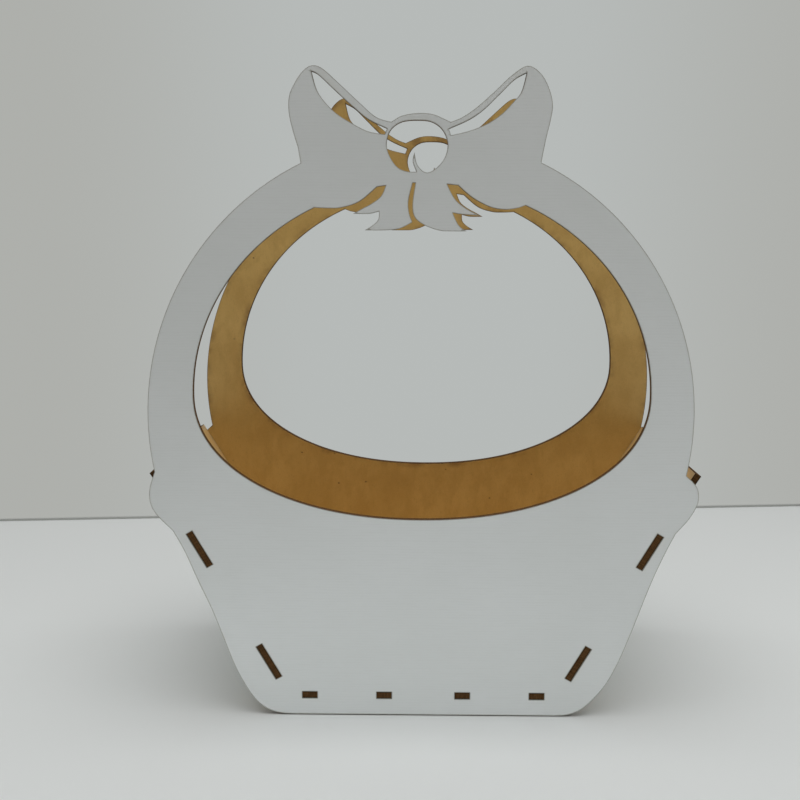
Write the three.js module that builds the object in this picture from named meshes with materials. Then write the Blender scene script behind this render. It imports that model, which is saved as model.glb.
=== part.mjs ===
// Flower girl basket: five laser-cut boards of white-faced hardboard, slotted together by tabs.
// Millimetres, +Z up. The front panel faces -Y and the origin lies under the middle of the base.
import * as THREE from 'three';

const { degToRad } = THREE.MathUtils;

// Board stock: brown hardboard with a white foil bonded to one side.
const BOARD = 3.0;
const FOIL = 0.2;
const CORE = BOARD - FOIL;

// Basket body.
const DEPTH = 114;                    // outer face of the front panel to outer face of the back
const INSIDE = DEPTH - 2 * BOARD;     // between the two panels
const CLEARANCE = 0.1;                // round a tab in its slot, each way
const KERF = 0.1;                     // the laser takes this much off a slot's corners

// Side boards, leaning outwards. Lengths run up the board from its lower end.
const SIDE_LENGTH = 120;
const SIDE_TILT = degToRad(60.2);     // up from the table
const SIDE_FOOT = { x: 58.7, z: 6.8 };
const SIDE_TAB_CENTRES = [20.6, 80.3];
const SIDE_TAB = 17.4;

// Base board, lying between the side boards.
const BASE_MIDDLE = 9.1;              // height of its middle plane
const BASE_TO_SIDE = 0.3;             // gap left at each end
const BASE_TAB_CENTRES = [-50.8, -17.5, 17.5, 50.8];
const BASE_TAB = 6.6;

// Hoop of a panel. The outer edge is a true ellipse and so is the top half of the opening;
// the bottom half of the opening is a little fuller than an ellipse.
const HOOP = { x: -2.1, z: 133.9, halfWidth: 117.2, halfHeight: 119.9 };
const OPENING_TOP = { x: -1.6, z: 144.5, halfWidth: 97.9, halfHeight: 89.9 };
const OPENING_FOOT = { ...OPENING_TOP, halfHeight: 54.1, fullness: 2.12 };
const HOOP_NECK = { left: 190.9, right: -11.1 };       // degrees, where the hoop meets the body
const HOOP_BOW = { left: 115.3, right: 65.2 };         // where the hoop meets the bow
const OPENING_BOW = { left: 117.5, right: 64.2 };      // where the opening meets the bow

// Fineness of the cut edges.
const ARC_STEP = 1.5;                 // degrees
const CURVE_STEPS = 4;                // per spline point

// Every run below is one smooth stretch of the cut, as [x, z]; a corner lies at its end.
// The outline of a panel runs counter-clockwise from the right end of its flat foot.
const FOOT_END = [59, 0];
const RIGHT_FLANK = [
  [65, 0.5], [71, 3.2], [76.6, 8.6], [81.8, 15.5], [86.6, 25.2],
  [91.6, 38.5], [96, 51.5], [100.2, 63.5], [105.2, 75.8], [109.5, 84.9],
];
const RIGHT_EAR = [[115.2, 91.9], [118.5, 98.9], [118.2, 104.6], [115.6, 108.4]];
const RIGHT_WING = [
  [48.7, 252], [50.6, 260.5], [51.1, 266.5], [49, 273.5], [45.3, 278.8], [40.3, 281.1],
  [34, 277.2], [28, 271.6], [20.5, 265], [14.5, 260.9], [9.6, 258.9],
];
const KNOT = [[2.5, 261.9], [-4, 262.4], [-10.5, 261.3], [-14.7, 258.9]];
const LEFT_WING = [
  [-21, 260.8], [-28, 266.7], [-36, 274], [-43, 280], [-47.2, 281.1], [-50.8, 279],
  [-54.2, 274.4], [-56.6, 269], [-56.8, 262.5], [-55.3, 255.5], [-53.2, 248.5],
];
const LEFT_EAR = [[-118.4, 107.8], [-119.7, 103], [-119.6, 97.6], [-117.1, 92.2], [-110.2, 85]];
const LEFT_FLANK = [
  [-105.4, 76], [-99.3, 61.3], [-93.9, 49], [-89.3, 36.5], [-84.6, 23.5],
  [-79.9, 13.8], [-75.2, 6.7], [-70, 2.4], [-64, 0.4], [-58, 0],
];

// The tails of the bow, from the left end of the opening's ellipse to its right end.
const TAILS = [
  [[-41.5, 224], [-35.5, 224.3], [-28, 226.8], [-20.7, 232.8]],
  [[-17, 233.4]],
  [[-19, 229], [-23, 225.9], [-27, 223.8], [-30.5, 221.8]],
  [[-24, 221.8], [-19.8, 222.8]],
  [[-20.1, 219.5], [-22.5, 217], [-25.8, 215]],
  [[-17.3, 215], [-11, 215.8], [-5.9, 218.4]],
  [[-7.3, 222.3], [-7.6, 227.3], [-5.9, 234.5]],
  [[-4.7, 234.5]],
  [[-5.9, 226], [-5, 220.5], [-0.7, 217.1], [5.3, 215], [10, 214.7], [16.7, 214.7]],
  [[13.3, 217.3], [10.8, 222.3]],
  [[14.5, 221.7], [22, 221.2]],
  [[16.5, 224], [11.8, 227.8], [8.3, 234]],
  [[13, 233.5]],
  [[19, 228.5], [26.5, 224.7], [33, 223.7], [38.3, 224.4]],
];

// Holes of the bow: two slim leaves and the round knot with its upstanding curl.
const LEFT_LEAF = {
  start: [-47.5, 279],
  runs: [
    [[-44.5, 277.5], [-38.5, 272], [-30, 264.5], [-24, 259.8], [-16.5, 256.3]],
    [[-17.5, 253.9]],
    [[-24, 255], [-30, 257.8], [-37, 262], [-42, 266.8], [-45.5, 272]],
  ],
};
const RIGHT_LEAF = {
  start: [40.4, 278.5],
  runs: [
    [[35.5, 275.8], [29.5, 270], [23, 263.8], [17, 259.8], [8.8, 256.2]],
    [[9.8, 253.6]],
    [[17, 255.3], [24, 258], [30, 261.8], [35, 266.8], [38.5, 271.3]],
  ],
};
const KNOT_HOLE = {
  start: [-4.3, 238.9],
  runs: [
    [
      [-8.5, 239.1], [-12.5, 241], [-15.7, 245.8], [-16.7, 250.5], [-15, 255.7], [-10.5, 258.9],
      [-4, 259.6], [2, 258.9], [6.5, 255.5], [8.5, 250], [7.2, 244.5], [3.9, 240.5],
      [0.5, 238.6], [-2, 239.4],
    ],
    [[-4.2, 242.2], [-5.2, 246.8]],
    [[-5.9, 243.2]],
  ],
};

// Adds one smooth run to a cut; a run of one point is straight.
function follow(path, run) {
  if (run.length === 1) {
    path.lineTo(...run[0]);
  } else {
    path.splineThru(run.map((point) => new THREE.Vector2(...point)));
  }
}

// Points along an ellipse between two angles in degrees, both ends included.
function ellipsePoints({ x, z, halfWidth, halfHeight, fullness = 2 }, from, to) {
  const steps = Math.round(Math.abs(to - from) / ARC_STEP);
  return Array.from({ length: steps + 1 }, (_, step) => {
    const angle = degToRad(from + ((to - from) * step) / steps);
    const across = Math.sign(Math.cos(angle)) * Math.abs(Math.cos(angle)) ** (2 / fullness);
    const up = Math.sign(Math.sin(angle)) * Math.abs(Math.sin(angle)) ** (2 / fullness);
    return new THREE.Vector2(x + halfWidth * across, z + halfHeight * up);
  });
}

// A closed cut from a start point and its runs; the last run closes on the start point.
function closedCut({ start, runs }) {
  const path = new THREE.Path().moveTo(...start);
  runs.slice(0, -1).forEach((run) => follow(path, run));
  follow(path, [...runs.at(-1), start]);
  return path;
}

// A slot for a tab, turned by an angle about its centre.
function slot(centre, length, angle) {
  const reach = length / 2 + CLEARANCE;
  const half = BOARD / 2 + CLEARANCE;
  const corners = [
    [KERF - reach, -half], [reach - KERF, -half], [reach, KERF - half], [reach, half - KERF],
    [reach - KERF, half], [KERF - reach, half], [-reach, half - KERF], [-reach, KERF - half],
  ];
  const turned = corners.map(([x, y]) => (
    new THREE.Vector2(x, y).rotateAround(new THREE.Vector2(), angle).add(centre)
  ));
  return new THREE.Path(turned);
}

// Slots of a panel: a row for the base board and two pairs for the side boards.
function panelSlots() {
  const slots = BASE_TAB_CENTRES.map((x) => slot(new THREE.Vector2(x, BASE_MIDDLE), BASE_TAB, 0));
  for (const along of SIDE_TAB_CENTRES) {
    const x = SIDE_FOOT.x + along * Math.cos(SIDE_TILT);
    const z = SIDE_FOOT.z + along * Math.sin(SIDE_TILT);
    slots.push(slot(new THREE.Vector2(x, z), SIDE_TAB, SIDE_TILT));
    slots.push(slot(new THREE.Vector2(-x, z), SIDE_TAB, -SIDE_TILT));
  }
  return slots;
}

// The opening under the handle, with the tails of the bow hanging into it.
function hoopOpening() {
  const path = new THREE.Path([
    ...ellipsePoints(OPENING_TOP, OPENING_BOW.right, 0),
    ...ellipsePoints(OPENING_FOOT, -ARC_STEP, ARC_STEP - 180),
    ...ellipsePoints(OPENING_TOP, 180, OPENING_BOW.left),
  ]);
  TAILS.forEach((run) => follow(path, run));
  path.closePath();
  return path;
}

function panelShape() {
  const shape = new THREE.Shape();
  shape.moveTo(...FOOT_END);
  follow(shape, RIGHT_FLANK);
  follow(shape, RIGHT_EAR);
  ellipsePoints(HOOP, HOOP_NECK.right, HOOP_BOW.right).forEach(({ x, y }) => shape.lineTo(x, y));
  follow(shape, RIGHT_WING);
  follow(shape, KNOT);
  follow(shape, LEFT_WING);
  ellipsePoints(HOOP, HOOP_BOW.left, HOOP_NECK.left).forEach(({ x, y }) => shape.lineTo(x, y));
  follow(shape, LEFT_EAR);
  follow(shape, LEFT_FLANK);
  shape.closePath();
  shape.holes.push(hoopOpening(), ...[LEFT_LEAF, RIGHT_LEAF, KNOT_HOLE].map(closedCut));
  shape.holes.push(...panelSlots());
  return shape;
}

// A straight board lying along X, with tabs on both long edges that reach through the panels.
function tabbedShape(from, to, tabCentres, tab) {
  const inner = INSIDE / 2;
  const outer = DEPTH / 2;
  const edge = [[from, -inner]];
  for (const centre of tabCentres) {
    const start = centre - tab / 2;
    const end = centre + tab / 2;
    edge.push([start, -inner], [start, -outer], [end, -outer], [end, -inner]);
  }
  edge.push([to, -inner]);
  const far = edge.map(([x, y]) => [x, -y]).reverse();
  return new THREE.Shape([...edge, ...far].map((corner) => new THREE.Vector2(...corner)));
}

const foil = new THREE.MeshStandardMaterial({ color: 0xe4e6e2, roughness: 0.5, metalness: 0 });
const hardboard = new THREE.MeshStandardMaterial({ color: 0x96713f, roughness: 0.8, metalness: 0 });
const basket = new THREE.Group();

// Adds one board as its brown core and its foil. The shape is extruded from the raw face (0)
// to the foil face (BOARD) and then put in place.
function addBoard(name, shape, place) {
  const layers = [
    { node: `${name}_board`, from: 0, depth: CORE, material: hardboard },
    { node: `${name}_foil`, from: CORE, depth: FOIL, material: foil },
  ];
  for (const { node, from, depth, material } of layers) {
    const options = { depth, bevelEnabled: false, curveSegments: CURVE_STEPS };
    const geometry = new THREE.ExtrudeGeometry(shape, options);
    geometry.translate(0, 0, from);
    place(geometry);
    const mesh = new THREE.Mesh(geometry, material);
    mesh.name = node;
    basket.add(mesh);
  }
}

const panel = panelShape();
const side = tabbedShape(0, SIDE_LENGTH, SIDE_TAB_CENTRES, SIDE_TAB);
// The side boards' raw faces pass the underside of the base at this distance from the middle.
const sideAtBase = SIDE_FOOT.x - BOARD / 2 / Math.sin(SIDE_TILT)
  + (BASE_MIDDLE - BOARD / 2 - SIDE_FOOT.z) / Math.tan(SIDE_TILT);
const baseEnd = sideAtBase - BASE_TO_SIDE;
const base = tabbedShape(-baseEnd, baseEnd, BASE_TAB_CENTRES, BASE_TAB);

function placeFront(geometry) {
  geometry.rotateX(Math.PI / 2);
  geometry.translate(0, -INSIDE / 2, 0);
}

// The foil of the right side board faces outwards and down.
function placeRightSide(geometry) {
  geometry.translate(0, 0, -BOARD / 2);
  geometry.rotateX(Math.PI);
  geometry.rotateY(-SIDE_TILT);
  geometry.translate(SIDE_FOOT.x, 0, SIDE_FOOT.z);
}

// The back panel and the left side are the same pieces turned round to face the other way.
function turnedRound(place) {
  return (geometry) => {
    place(geometry);
    geometry.rotateZ(Math.PI);
  };
}

function placeBase(geometry) {
  geometry.rotateX(Math.PI);
  geometry.translate(0, 0, BASE_MIDDLE + BOARD / 2);
}

addBoard('front', panel, placeFront);
addBoard('back', panel, turnedRound(placeFront));
addBoard('right_side', side, placeRightSide);
addBoard('left_side', side, turnedRound(placeRightSide));
addBoard('base', base, placeBase);

export default basket;
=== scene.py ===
import math

import bpy
import numpy as np
from mathutils import Matrix, Vector
from mathutils.geometry import delaunay_2d_cdt


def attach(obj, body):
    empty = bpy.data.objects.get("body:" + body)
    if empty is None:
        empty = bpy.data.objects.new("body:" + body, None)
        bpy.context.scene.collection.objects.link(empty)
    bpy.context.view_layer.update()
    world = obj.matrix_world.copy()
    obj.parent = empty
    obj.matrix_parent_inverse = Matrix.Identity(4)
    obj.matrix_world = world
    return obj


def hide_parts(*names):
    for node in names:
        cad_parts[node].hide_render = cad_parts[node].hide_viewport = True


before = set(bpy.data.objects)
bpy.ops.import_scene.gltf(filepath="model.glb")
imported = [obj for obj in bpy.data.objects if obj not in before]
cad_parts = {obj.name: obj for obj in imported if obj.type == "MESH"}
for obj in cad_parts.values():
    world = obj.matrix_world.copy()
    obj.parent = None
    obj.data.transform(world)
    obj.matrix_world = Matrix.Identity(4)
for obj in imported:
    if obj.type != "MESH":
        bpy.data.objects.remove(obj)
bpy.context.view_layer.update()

MM = 0.001
scene = bpy.context.scene

# ---------------------------------------------------------------- camera
CAMERA_PLACE = Vector((-0.00594, -0.500, 0.2165))
LOOK_DOWN, LOOK_ASIDE, ROLL = (math.radians(a) for a in (9.37, -0.63, -0.2))
LENS_MM, SENSOR_MM = 47.25, 36.0


def make_camera():
    forward = Vector((
        math.sin(LOOK_ASIDE) * math.cos(LOOK_DOWN),
        math.cos(LOOK_ASIDE) * math.cos(LOOK_DOWN),
        -math.sin(LOOK_DOWN),
    ))
    level = Vector((math.cos(LOOK_ASIDE), -math.sin(LOOK_ASIDE), 0))
    down = forward.cross(level)
    right = level * math.cos(ROLL) + down * math.sin(ROLL)
    up = level * math.sin(ROLL) - down * math.cos(ROLL)
    data = bpy.data.cameras.new("photo_camera")
    data.lens, data.sensor_width = LENS_MM, SENSOR_MM
    data.clip_start, data.clip_end = 0.01, 50
    camera = bpy.data.objects.new("photo_camera", data)
    turn = Matrix((right, up, -forward)).transposed()
    camera.matrix_world = Matrix.Translation(CAMERA_PLACE) @ turn.to_4x4()
    scene.collection.objects.link(camera)
    scene.camera = camera


make_camera()


# ---------------------------------------------------------------- node trees
RULING_MM = 1.25  # pitch of the fine level lines pressed into the white foil


class Tree:
    """A short way to write a material's nodes: each call adds a node and returns its output."""

    def __init__(self, tree):
        self.tree = tree
        self.tree.nodes.clear()

    def put(self, socket, value):
        if hasattr(value, "links"):
            self.tree.links.new(value, socket)
        else:
            socket.default_value = value

    def node(self, kind, out=0, inputs=None, **settings):
        n = self.tree.nodes.new(kind)
        for key, value in settings.items():
            setattr(n, key, value)
        for key, value in (inputs or {}).items():
            self.put(n.inputs[key], value)
        return n.outputs[out]

    def math(self, operation, a, b=0.5, clamp=False):
        return self.node("ShaderNodeMath", 0, {0: a, 1: b}, operation=operation, use_clamp=clamp)

    def attribute(self, name, out="Fac"):
        return self.node("ShaderNodeAttribute", out, attribute_name=name)

    def stretched(self, vector, scale):
        return self.node("ShaderNodeVectorMath", 0, {0: vector, 1: scale}, operation="MULTIPLY")

    def noise(self, vector, scale, detail=3.0, roughness=0.55, distortion=0.0):
        return self.node("ShaderNodeTexNoise", "Fac", {
            "Vector": vector, "Scale": scale, "Detail": detail,
            "Roughness": roughness, "Distortion": distortion})

    def span(self, value, low, high, to_low=0.0, to_high=1.0, smooth=True):
        return self.node("ShaderNodeMapRange", 0, {
            "Value": value, "From Min": low, "From Max": high, "To Min": to_low, "To Max": to_high},
            interpolation_type="SMOOTHSTEP" if smooth else "LINEAR", clamp=True)

    def mix(self, share, a, b, blend="MIX"):
        n = self.tree.nodes.new("ShaderNodeMix")
        n.data_type, n.blend_type = "RGBA", blend
        for socket, value in ((n.inputs[0], share), (n.inputs[6], a), (n.inputs[7], b)):
            self.put(socket, value)
        return n.outputs[2]

    def bump(self, height, distance, strength=1.0, under=None):
        inputs = {"Height": height, "Distance": distance, "Strength": strength}
        if under is not None:
            inputs["Normal"] = under
        return self.node("ShaderNodeBump", 0, inputs)


def rgb(r, g, b):
    return (r, g, b, 1.0)


def new_material(name):
    m = bpy.data.materials.new(name)
    m.use_nodes = True
    return m, Tree(m.node_tree)


def close_material(t, **sockets):
    shader = t.tree.nodes.new("ShaderNodeBsdfPrincipled")
    for name, value in sockets.items():
        t.put(shader.inputs[name.replace("_", " ")], value)
    output = t.tree.nodes.new("ShaderNodeOutputMaterial")
    t.tree.links.new(shader.outputs[0], output.inputs[0])


# ---------------------------------------------------------------- hardboard
# marks on the raw face: cells per mm, share of cells left empty, smallest and largest size, depth
SPECKS = (0.085, 0.36, 0.026, 0.072, 0.85)
SMUDGES = (0.024, 0.62, 0.020, 0.048, 0.26)


def hardboard():
    """The smooth raw face: mottled fibre, specks, and the smoke and scorch beside the laser's cut."""
    m, t = new_material("raw_hardboard_face")
    place = t.attribute("board_mm", "Vector")
    edge = t.attribute("edge_mm")

    blotch = t.noise(place, 0.030, 3, 0.5, 0.4)
    cloud = t.noise(t.stretched(place, (1.0, 0.55, 1.0)), 0.13, 4, 0.6, 0.3)
    fibre_a = t.noise(t.stretched(place, (0.5, 2.6, 1.0)), 1.0, 4, 0.65, 0.8)
    fibre_b = t.noise(t.stretched(place, (2.4, 0.6, 1.0)), 1.1, 4, 0.65, 0.8)
    pores = t.noise(place, 5.0, 2, 0.7)
    base = t.mix(t.span(blotch, 0.32, 0.68), rgb(0.618, 0.398, 0.117), rgb(0.706, 0.471, 0.152))
    base = t.mix(t.span(cloud, 0.38, 0.66, 0.0, 0.60), base, rgb(0.560, 0.345, 0.092))
    fibres = t.math("MULTIPLY", t.span(fibre_a, 0.50, 0.72), 0.34)
    base = t.mix(fibres, base, rgb(0.74, 0.52, 0.21))
    strands = t.math("MULTIPLY", t.span(fibre_b, 0.52, 0.70), 0.34)
    base = t.mix(strands, base, rgb(0.41, 0.23, 0.062))
    base = t.mix(t.span(pores, 0.56, 0.74, 0.0, 0.32), base, rgb(0.28, 0.15, 0.045))

    for scale, share, small, large, depth in (SPECKS, SMUDGES):
        cells = t.tree.nodes.new("ShaderNodeTexVoronoi")
        t.put(cells.inputs["Vector"], t.stretched(place, (1.0, 1.25, 0.2)))
        t.put(cells.inputs["Scale"], scale)
        parts = t.tree.nodes.new("ShaderNodeSeparateColor")
        t.tree.links.new(cells.outputs["Color"], parts.inputs[0])
        chosen = t.math("GREATER_THAN", parts.outputs[0], share)
        size = t.span(parts.outputs[1], 0.0, 1.0, small, large, smooth=False)
        ragged = t.math("SUBTRACT", t.noise(place, 26.0 * scale, 2), 0.5)
        reach = t.math("ADD", cells.outputs["Distance"], t.math("MULTIPLY", ragged, small * 2))
        speck = t.span(t.math("DIVIDE", reach, size), 0.4, 1.25, 1.0, 0.0)
        speck = t.math("MULTIPLY", t.math("MULTIPLY", speck, chosen), depth)
        base = t.mix(speck, base, rgb(0.17, 0.085, 0.030))

    drift = t.noise(place, 0.09, 3, 0.6)
    near_cut = t.span(edge, 0.0, 3.6, 1.0, 0.0)
    smoke = t.math("MULTIPLY", near_cut, t.span(drift, 0.42, 0.72, 0.05, 0.82))
    base = t.mix(smoke, base, rgb(0.30, 0.165, 0.050))
    uneven = t.math("SUBTRACT", t.noise(place, 1.3, 3), 0.5)
    ragged = t.math("ADD", edge, t.math("MULTIPLY", uneven, 0.30))
    base = t.mix(t.span(ragged, 0.03, 0.44, 0.60, 0.0), base, rgb(0.150, 0.088, 0.036))

    rough = t.math("ADD", t.span(cloud, 0.3, 0.7, 0.40, 0.52), t.math("MULTIPLY", fibres, 0.4))
    relief = t.math("ADD", t.math("MULTIPLY", fibre_a, 0.6), t.math("MULTIPLY", pores, 0.4))
    close_material(t, Base_Color=base, Roughness=rough, Specular_IOR_Level=0.5,
                   Sheen_Weight=0.22, Sheen_Roughness=0.45,
                   Normal=t.bump(relief, 0.00004, 0.8))
    return m


def cut_hardboard():
    """The cut wall: burnt brown, streaked in the beam's direction, and near black at both faces, where
    the near black is painted shade of the dark gap at the wall's rims.
    """
    m, t = new_material("raw_hardboard_laser_cut")
    place = t.attribute("board_mm", "Vector")
    through = t.attribute("through")
    streak = t.noise(t.stretched(place, (3.4, 3.4, 0.22)), 1.0, 3, 0.65)
    fine = t.noise(t.stretched(place, (11.0, 11.0, 0.9)), 1.0, 2, 0.6)
    layers = t.noise(t.stretched(place, (0.25, 0.25, 3.2)), 1.0, 3, 0.6)
    char_and_shade = t.mix(t.span(streak, 0.30, 0.72), rgb(0.072, 0.033, 0.012), rgb(0.170, 0.083, 0.028))
    char_and_shade = t.mix(t.span(fine, 0.45, 0.75, 0.0, 0.5), char_and_shade, rgb(0.222, 0.114, 0.041))
    char_and_shade = t.mix(t.span(layers, 0.40, 0.70, 0.0, 0.5), char_and_shade, rgb(0.054, 0.029, 0.012))
    off_middle = t.math("ABSOLUTE", t.math("SUBTRACT", through, 0.5))
    # painted shade: near black towards both faces, for the dark gap and shadow at the wall's rims
    char_and_shade = t.mix(t.span(off_middle, 0.30, 0.50, 0.0, 0.70), char_and_shade, rgb(0.018, 0.013, 0.009))
    relief = t.math("ADD", t.math("MULTIPLY", streak, 0.7), t.math("MULTIPLY", fine, 0.5))
    close_material(t, Base_Color=char_and_shade, Roughness=t.span(streak, 0.3, 0.7, 1.0, 0.86),
                   Specular_IOR_Level=0.12, Normal=t.bump(relief, 0.00012, 0.8))
    return m


# ---------------------------------------------------------------- foil
def foil():
    """The white face: a fine level ruling, faint clouding, and a trace of scorch at the cut."""
    m, t = new_material("white_foil_face")
    place = t.attribute("board_mm", "Vector")
    edge = t.attribute("edge_mm")

    parts = t.tree.nodes.new("ShaderNodeSeparateXYZ")
    t.put(parts.inputs[0], place)
    waver = t.math("MULTIPLY", t.noise(t.stretched(place, (0.03, 0.10, 1.0)), 1.0, 2), 1.6)
    row = t.math("MULTIPLY", t.math("ADD", parts.outputs[1], waver), 2 * math.pi / RULING_MM)
    ruling = t.span(t.math("SINE", row, 0.0), -1.0, 1.0, smooth=False)
    broken = t.noise(t.stretched(place, (0.09, 0.55, 1.0)), 1.0, 3, 0.6)
    ruling = t.math("MULTIPLY", ruling, t.span(broken, 0.36, 0.62, 0.15, 1.0))
    threads = t.noise(t.stretched(place, (0.35, 3.2, 1.0)), 1.0, 3, 0.6)
    soft = t.noise(place, 0.022, 3, 0.5)
    grains = t.noise(place, 3.2, 3, 0.7)
    base = t.mix(t.span(soft, 0.3, 0.7), rgb(0.772, 0.785, 0.768), rgb(0.792, 0.803, 0.790))
    base = t.mix(t.math("MULTIPLY", ruling, 0.30), base, rgb(0.725, 0.735, 0.715))
    base = t.mix(t.span(threads, 0.50, 0.75, 0.0, 0.22), base, rgb(0.82, 0.83, 0.815))
    base = t.mix(t.span(grains, 0.62, 0.80, 0.0, 0.14), base, rgb(0.66, 0.67, 0.64))

    # faint scorch beside the cut, stronger where the smoke caught
    drift = t.noise(place, 0.16, 3, 0.6)
    near_cut = t.span(edge, 0.0, 1.3, 1.0, 0.0)
    halo = t.math("MULTIPLY", near_cut, t.span(drift, 0.45, 0.78, 0.06, 0.34))
    base = t.mix(halo, base, rgb(0.64, 0.60, 0.50))
    uneven = t.math("SUBTRACT", t.noise(place, 1.7, 3), 0.5)
    ragged = t.math("ADD", edge, t.math("MULTIPLY", uneven, 0.20))
    base = t.mix(t.span(ragged, 0.05, 0.48, 0.70, 0.0), base, rgb(0.28, 0.268, 0.215))

    relief = t.math("ADD", t.math("MULTIPLY", ruling, -0.5), t.math("MULTIPLY", threads, 0.35))
    relief = t.math("ADD", relief, t.math("MULTIPLY", grains, 0.15))
    close_material(t, Base_Color=base, Roughness=t.span(broken, 0.3, 0.7, 0.46, 0.56),
                   Specular_IOR_Level=0.4, Normal=t.bump(relief, 0.00005, 0.6))
    return m


def cut_foil():
    """The foil's own cut wall, singed to a dull grey brown."""
    m, t = new_material("white_foil_laser_cut")
    place = t.attribute("board_mm", "Vector")
    streak = t.noise(t.stretched(place, (3.4, 3.4, 0.3)), 1.0, 3, 0.65)
    colour = t.mix(t.span(streak, 0.3, 0.7), rgb(0.10, 0.085, 0.060), rgb(0.26, 0.235, 0.180))
    close_material(t, Base_Color=colour, Roughness=t.span(streak, 0.3, 0.7, 0.75, 0.95),
                   Specular_IOR_Level=0.2, Normal=t.bump(streak, 0.00004, 0.6))
    return m


# ---------------------------------------------------------------- the CAD boards' outlines
def cad_arrays(node):
    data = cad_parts[node].data
    data.calc_loop_triangles()
    xyz = np.empty(len(data.vertices) * 3, np.float32)
    data.vertices.foreach_get("co", xyz)
    tri = np.empty(len(data.loop_triangles) * 3, np.int32)
    data.loop_triangles.foreach_get("vertices", tri)
    rounded = np.round(xyz.reshape(-1, 3).astype(float), 7)
    points, which = np.unique(rounded, axis=0, return_inverse=True)
    tri = which.ravel()[tri].reshape(-1, 3)
    good = (tri[:, 0] != tri[:, 1]) & (tri[:, 1] != tri[:, 2]) & (tri[:, 0] != tri[:, 2])
    return points, tri[good]


def face_axis(points, tri):
    cross = np.cross(points[tri[:, 1]] - points[tri[:, 0]], points[tri[:, 2]] - points[tri[:, 0]])
    area = np.linalg.norm(cross, axis=1)
    axis = cross[area.argmax()] / area.max()
    return axis, cross / np.maximum(area, 1e-18)[:, None]


def cap_loops(points, tri, normals, axis):
    """The closed outlines of the faces that look along the axis: the outer one runs
    counter-clockwise, holes clockwise."""
    cap = tri[normals @ axis > 0.999]
    edges = {(a, b) for t in cap for a, b in ((t[0], t[1]), (t[1], t[2]), (t[2], t[0]))}
    following = {a: b for a, b in edges if (b, a) not in edges}
    loops = []
    while following:
        start = min(following)
        loop, at = [start], following.pop(start)
        while at != start:
            loop.append(at)
            at = following.pop(at)
        loops.append(points[loop])
    return loops


class Board:
    """A board's own axes, in its plane (u, v) and towards its white side (w)."""

    def __init__(self, core, foil_node):
        self.parts = {core: cad_arrays(core), foil_node: cad_arrays(foil_node)}
        points, tri = self.parts[core]
        axis, _ = face_axis(points, tri)
        foil_points = self.parts[foil_node][0]
        core_mid = ((points @ axis).min() + (points @ axis).max()) / 2
        foil_mid = ((foil_points @ axis).min() + (foil_points @ axis).max()) / 2
        self.w = axis if foil_mid > core_mid else -axis
        side = np.cross((0, 0, 1.0), self.w)
        self.u = side / np.linalg.norm(side) if np.linalg.norm(side) > 0.1 else np.array((1.0, 0, 0))
        self.v = np.cross(self.w, self.u)

    def flat(self, xyz):
        return np.stack([xyz @ self.u, xyz @ self.v], 1)

    def solid(self, uv, height):
        return uv[:, :1] * self.u + uv[:, 1:2] * self.v + np.asarray(height).reshape(-1, 1) * self.w

    def outline(self, node):
        points, tri = self.parts[node]
        _, normals = face_axis(points, tri)
        heights = points @ self.w
        loops = [self.flat(loop) for loop in cap_loops(points, tri, normals, self.w)]
        return loops, heights.min(), heights.max()


STEP_ALONG = 1.8 * MM


def evenly(loop):
    """The same outline with long straight runs divided, every CAD point kept."""
    out = []
    for a, b in zip(loop, np.roll(loop, -1, 0)):
        pieces = max(1, math.ceil(np.linalg.norm(b - a) / STEP_ALONG - 0.2))
        out += [a + (b - a) * k / pieces for k in range(pieces)]
    return np.array(out)


def inward(loop):
    """At each point, the miter direction into the board, which is on the outline's left."""
    before, after = loop - np.roll(loop, 1, 0), np.roll(loop, -1, 0) - loop
    normals = []
    for d in (before, after):
        d = d / np.maximum(np.linalg.norm(d, axis=1), 1e-12)[:, None]
        normals.append(np.stack([-d[:, 1], d[:, 0]], 1))
    total = normals[0] + normals[1]
    length = np.maximum(np.linalg.norm(total, axis=1), 1e-6)[:, None]
    middle = total / length
    open_by = np.clip((middle * normals[1]).sum(1), 0.5, 1)[:, None]
    return middle / open_by


def to_outline(points, loops):
    """Distance of each point to the nearest outline, and whether it is inside the board."""
    a = np.concatenate(loops)
    b = np.concatenate([np.roll(loop, -1, 0) for loop in loops])
    d = b - a
    long2 = np.maximum((d ** 2).sum(1), 1e-18)
    nearest, inside = np.empty(len(points)), np.empty(len(points), bool)
    for s in range(0, len(points), 2000):
        p = points[s:s + 2000, None, :]
        share = np.clip(((p - a) * d).sum(2) / long2, 0, 1)
        nearest[s:s + 2000] = np.sqrt((((a + share[..., None] * d) - p) ** 2).sum(2).min(1))
        x, y = p[..., 0], p[..., 1]
        over = (a[:, 1] > y) != (b[:, 1] > y)
        rise = np.where(np.abs(d[:, 1]) < 1e-15, 1e-15, d[:, 1])
        crosses = over & (x < a[:, 0] + (y - a[:, 1]) / rise * d[:, 0])
        inside[s:s + 2000] = crosses.sum(1) % 2 == 1
    return nearest, inside


GRID, RINGS = 5.0 * MM, (0.55 * MM, 2.4 * MM)


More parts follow.
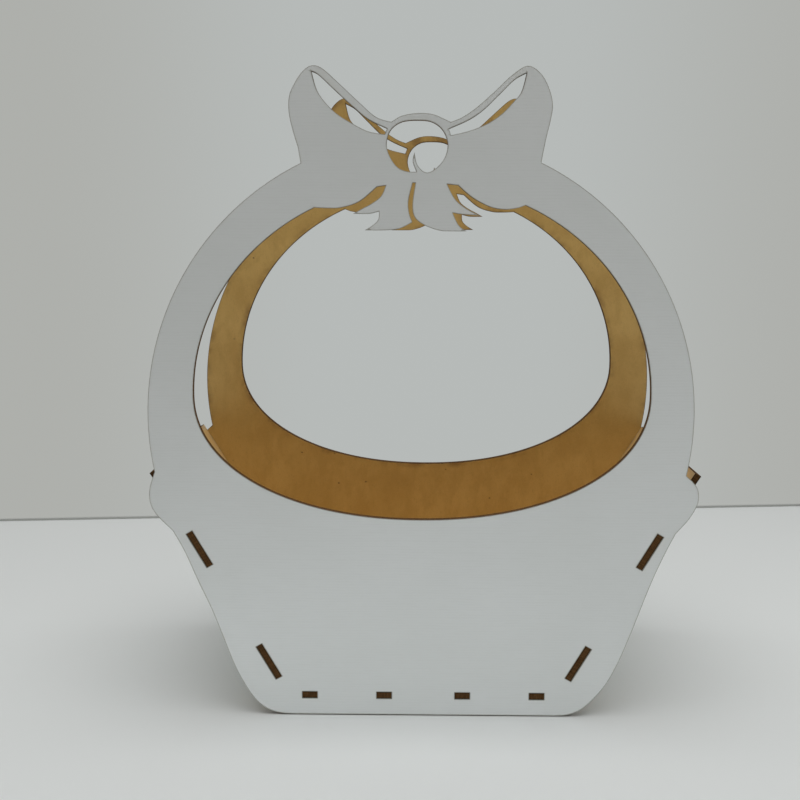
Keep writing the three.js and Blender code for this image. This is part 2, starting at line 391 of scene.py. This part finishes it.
def fill_points(loops, rich):
    """Points inside the outline: two rings beside the cut, and a grid."""
    if not rich:
        return np.empty((0, 2))
    kept = []
    for ring in RINGS:
        every = 2 if ring == RINGS[1] else 1
        new = np.concatenate([(loop + inward(loop) * ring)[::every] for loop in loops])
        distance, inside = to_outline(new, loops)
        kept.append(new[inside & (distance > ring * 0.9)])
    everything = np.concatenate(loops)
    low, high = everything.min(0), everything.max(0)
    xs = np.arange(low[0] + GRID / 2, high[0], GRID)
    rows = [np.stack([xs + (GRID / 2 if i % 2 else 0), np.full(len(xs), y)], 1)
            for i, y in enumerate(np.arange(low[1] + GRID / 2, high[1], GRID * 0.87))]
    grid = np.concatenate(rows)
    distance, inside = to_outline(grid, loops)
    kept.append(grid[inside & (distance > RINGS[1] * 1.6)])
    return np.concatenate(kept)


CDT_SCALE = 100.0  # centimetres, so that the tolerance is far below any feature
CDT_TOLERANCE = 1e-7


def triangulate(loops, extra):
    """Triangles of the region between the outlines, over the loop points followed by the extra ones."""
    points = np.concatenate([*loops, extra])
    edges, start = [], 0
    for loop in loops:
        n = len(loop)
        edges += [(start + i, start + (i + 1) % n) for i in range(n)]
        start += n
    vectors = [Vector((float(x) * CDT_SCALE, float(y) * CDT_SCALE)) for x, y in points]
    verts, _, faces, origins, _, _ = delaunay_2d_cdt(vectors, edges, [], 0, CDT_TOLERANCE)
    back = [o[0] if o else -1 for o in origins]
    triangles = np.array([[back[i] for i in f] for f in faces])
    if (triangles < 0).any():
        raise RuntimeError("the outline crosses itself")
    a, b, c = (points[triangles[:, i]] for i in range(3))
    double = (b[:, 0] - a[:, 0]) * (c[:, 1] - a[:, 1]) - (b[:, 1] - a[:, 1]) * (c[:, 0] - a[:, 0])
    triangles = np.where((double < 0)[:, None], triangles[:, ::-1], triangles)
    _, inside = to_outline((a + b + c) / 3, loops)
    return points, triangles[inside & (np.abs(double) > 1e-15)]


# ---------------------------------------------------------------- a board's two layers as meshes
SHARP_ANGLE = math.radians(38)


def layer(name, board, node, materials, shift, profile, rich_white, rich_brown, flare=0.0):
    """One layer of a board, closed. The profile runs from the layer's white side to its brown side:
    (which side's face it is measured from, depth below that face, inset), in metres."""
    loops, low, high = board.outline(node)
    loops = [evenly(loop) for loop in loops]
    directions = [inward(loop) for loop in loops]
    count = sum(len(loop) for loop in loops)
    thickness = high - low
    rings = [(inset, high - depth if side == "white" else low + depth)
             for side, depth, inset in profile]
    coords, edge, through = [], [], []
    for inset, height in rings:
        flat = np.concatenate([loop + d * inset for loop, d in zip(loops, directions)])
        coords.append(board.solid(flat, np.full(len(flat), height)))
        edge.append(np.zeros(count))
        through.append(np.full(count, (high - height) / thickness))
    faces = []
    for k in range(len(rings) - 1):
        start = 0
        for loop in loops:
            n = len(loop)
            for i in range(n):
                a, b = start + i, start + (i + 1) % n
                top, below = k * count, (k + 1) * count
                faces.append((top + b, top + a, below + a, below + b))
            start += n
    total, walls = count * len(rings), len(faces)
    for ring, height, rich, flip in ((0, rings[0][1], rich_white, False),
                                     (len(rings) - 1, rings[-1][1], rich_brown, True)):
        inset = rings[ring][0]
        rim = [loop + d * inset for loop, d in zip(loops, directions)]
        extra = fill_points(rim, rich)
        points, triangles = triangulate(rim, extra)
        inner = points[count:]
        distance = to_outline(inner, loops)[0] if len(inner) else np.empty(0)
        renumber = np.concatenate([np.arange(count) + ring * count, np.arange(len(inner)) + total])
        total += len(inner)
        if len(inner):
            coords.append(board.solid(inner, np.full(len(inner), height)))
            edge.append(distance / MM)
            through.append(np.full(len(inner), (high - height) / thickness))
        triangles = renumber[triangles]
        faces += [tuple(f[::-1]) if flip else tuple(f) for f in triangles.tolist()]
    coords = np.concatenate(coords)
    if flare:
        along = coords @ board.v
        beyond = np.clip((along - along.min() - FLARE_FROM) / (np.ptp(along) - FLARE_FROM), 0, 1)
        coords = coords + (flare * beyond ** 2)[:, None] * board.w
    mesh = bpy.data.meshes.new(name)
    mesh.from_pydata(coords.tolist(), [], faces)
    mesh.update()
    in_plane = np.stack([coords @ board.u, coords @ board.v, coords @ board.w], 1) / MM + shift
    values = mesh.attributes.new("board_mm", "FLOAT_VECTOR", "POINT")
    values.data.foreach_set("vector", in_plane.astype(np.float32).ravel())
    for label, parts in (("edge_mm", edge), ("through", through)):
        values = mesh.attributes.new(label, "FLOAT", "POINT")
        values.data.foreach_set("value", np.concatenate(parts).astype(np.float32))
    mesh.shade_smooth()
    mesh.set_sharp_from_angle(angle=SHARP_ANGLE)
    for material in materials:
        mesh.materials.append(material)
    which = np.zeros(len(faces), np.int32)
    which[:walls] = 1
    mesh.polygons.foreach_set("material_index", which)
    piece = bpy.data.objects.new(name, mesh)
    scene.collection.objects.link(piece)
    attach(piece, "root")
    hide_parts(node)
    return piece


CORE_PROFILE = [
    ("white", 0.0, 0.0), ("white", 0.25 * MM, 0.0), ("white", 0.9 * MM, 0.0), ("brown", 0.9 * MM, 0.0),
    ("brown", 0.25 * MM, 0.0), ("brown", 0.09 * MM, 0.0), ("brown", 0.027 * MM, 0.027 * MM),
    ("brown", 0.0, 0.09 * MM)]
FOIL_PROFILE = [
    ("white", 0.0, 0.035 * MM), ("white", 0.010 * MM, 0.010 * MM), ("white", 0.035 * MM, 0.0),
    ("brown", 0.0, 0.0)]

HARDBOARD, FOIL = (hardboard(), cut_hardboard()), (foil(), cut_foil())
BOARDS = {
    "front": (0.0, 0.0, 0.0),
    "back": (611.0, 247.0, 91.0),
    "right_side": (1313.0, 83.0, 340.0),
    "left_side": (1901.0, 517.0, 733.0),
    "base": (2543.0, 911.0, 1250.0),
}


# a side board's free end, above its upper tab, bends a little outwards as in the photo;
# the CAD board is flat
FLARE_FROM, FLARE = 89.0 * MM, 0.6 * MM


def make_boards():
    made = []
    for name, shift in BOARDS.items():
        core, foil_node = f"{name}_board", f"{name}_foil"
        flare = FLARE if name.endswith("side") else 0.0
        board = Board(core, foil_node)
        # a bent board needs the same inner points on the faces where its two layers meet
        bent = flare > 0
        made.append(layer(f"{name}_hardboard", board, core, HARDBOARD, shift,
                          CORE_PROFILE, bent, True, flare))
        made.append(layer(f"{name}_white_face", board, foil_node, FOIL, shift,
                          FOIL_PROFILE, True, bent, flare))
    return made


PIECES = make_boards()


# ---------------------------------------------------------------- table and light
LAMP_REACH = (0.45, 1.10)  # where the lamps begin to fade on the table, and where they have faded


def plain_material(name, colour, far_colour, roughness):
    """Matte and pale, a little clouded, and paler far from the basket, where the lamps reach less."""
    m, t = new_material(name)
    place = t.node("ShaderNodeTexCoord", "Object")
    shade = t.noise(place, 3.0, 3, 0.5)
    grain = t.noise(place, 900.0, 2, 0.6)
    near = rgb(*(c * 0.985 for c in colour))
    base = t.mix(t.span(shade, 0.3, 0.7), rgb(*colour), near)
    away = t.node("ShaderNodeVectorMath", "Value", {0: t.stretched(place, (1.0, 1.0, 0.0))},
                  operation="LENGTH")
    base = t.mix(t.span(away, *LAMP_REACH), base, rgb(*far_colour))
    close_material(t, Base_Color=base, Roughness=roughness, Specular_IOR_Level=0.3,
                   Normal=t.bump(grain, 0.00005, 0.4))
    return m


TABLE_BACK_LEFT, TABLE_BACK_RIGHT = (-0.295, 0.253), (0.300, 0.309)
TABLE_REACH, TABLE_THICK = 1.6, 0.03
ROOM_DIM, CEILING = 0.02, 0.34
# height of the painted shade strip along the table's back edge
SHADE_LINE_HEIGHT = 0.0011
TABLE_TOP = -0.4 * MM  # just under the basket, for the dark hairline in the photo


def table_back(x, away=0.0):
    (x0, y0), (x1, y1) = TABLE_BACK_LEFT, TABLE_BACK_RIGHT
    return y0 + (y1 - y0) * (x - x0) / (x1 - x0) + away


def slab(name, near, far, low, high, material):
    """A flat block between two lines across the table, each given as a function of x."""
    r = TABLE_REACH
    corners = [(-r, near(-r)), (r, near(r)), (r, far(r)), (-r, far(-r))]
    verts = [(x, y, z) for z in (low, high) for x, y in corners]
    sides = [(i, (i + 1) % 4, (i + 1) % 4 + 4, i + 4) for i in range(4)]
    faces = [(3, 2, 1, 0), (4, 5, 6, 7)] + sides
    mesh = bpy.data.meshes.new(name)
    mesh.from_pydata(verts, [], faces)
    mesh.materials.append(material)
    piece = bpy.data.objects.new(name, mesh)
    scene.collection.objects.link(piece)
    return piece


# painted shade: a thin grey strip along the table's back edge stands for the shadow line where the
# table meets the wall
SHADE_LINE_WIDTH = 2.0 * MM
TABLE = plain_material("plain_table", (0.826, 0.849, 0.846), (0.90, 0.91, 0.90), 0.6)
SHADE_LINE = plain_material("table_shade_line", (0.52, 0.53, 0.51), (0.60, 0.61, 0.60), 0.8)
slab("stage_table", lambda x: -TABLE_REACH, table_back, -TABLE_THICK, TABLE_TOP, TABLE)
slab("stage_table_shade_line", table_back, lambda x: table_back(x, SHADE_LINE_WIDTH),
     -TABLE_THICK, SHADE_LINE_HEIGHT, SHADE_LINE)


def make_world():
    """A pale wall, brightest in its middle. The camera sees it all round; as a source of light,
    the room is dimmer behind the camera and overhead."""
    world = bpy.data.worlds.new("soft_room")
    world.use_nodes = True
    scene.world = world
    t = Tree(world.node_tree)
    way = t.tree.nodes.new("ShaderNodeSeparateXYZ")
    t.put(way.inputs[0], t.node("ShaderNodeTexCoord", "Generated"))
    aside = t.math("ABSOLUTE", t.math("SUBTRACT", way.outputs[0], 0.02))
    wall = t.mix(t.span(aside, 0.09, 0.36), rgb(0.470, 0.492, 0.482), rgb(0.424, 0.432, 0.410))
    lit = t.mix(t.span(way.outputs[1], 0.25, -0.65), wall, rgb(ROOM_DIM, ROOM_DIM, ROOM_DIM))
    lit = t.mix(t.span(way.outputs[2], 0.45, 0.9), lit, rgb(CEILING, CEILING, CEILING))
    colour = t.mix(t.node("ShaderNodeLightPath", "Is Camera Ray"), lit, wall)
    background = t.tree.nodes.new("ShaderNodeBackground")
    t.put(background.inputs[0], colour)
    t.put(background.inputs[1], 1.0)
    output = t.tree.nodes.new("ShaderNodeOutputWorld")
    t.tree.links.new(background.outputs[0], output.inputs[0])


def area_light(name, place, aim, size, watts, colour):
    data = bpy.data.lights.new(name, "AREA")
    data.shape, data.size, data.size_y = "RECTANGLE", size[0], size[1]
    data.energy, data.color = watts, colour
    light = bpy.data.objects.new(name, data)
    light.location = place
    light.rotation_mode = "QUATERNION"
    light.rotation_quaternion = (Vector(aim) - Vector(place)).to_track_quat("-Z", "Y")
    light.visible_camera = False
    scene.collection.objects.link(light)
    return light


make_world()
LAMP_WHITE, TABLE_WHITE = (1.0, 0.995, 0.985), (0.90, 0.99, 1.03)
area_light("overhead_softbox", (0.08, -0.16, 1.15), (0.08, -0.16, 0.0), (1.5, 1.0), 7.3, LAMP_WHITE)
area_light("front_softbox", (0.05, -0.75, 0.95), (0.0, 0.0, 0.12), (0.9, 0.6), 1.02, LAMP_WHITE)
# light that the white table throws up at the front panel: it lights that panel's pieces only
bounce = area_light("table_bounce", (-0.02, -0.135, -0.012), (0.0, -0.057, 0.035), (0.6, 0.04),
                    0.128, TABLE_WHITE)
front_panel = bpy.data.collections.new("lit_by_table_bounce")
for piece in PIECES:
    if piece.name.startswith("front"):
        front_panel.objects.link(piece)
bounce.light_linking.receiver_collection = front_panel
bounce.light_linking.blocker_collection = front_panel
scene.view_settings.view_transform = "Standard"
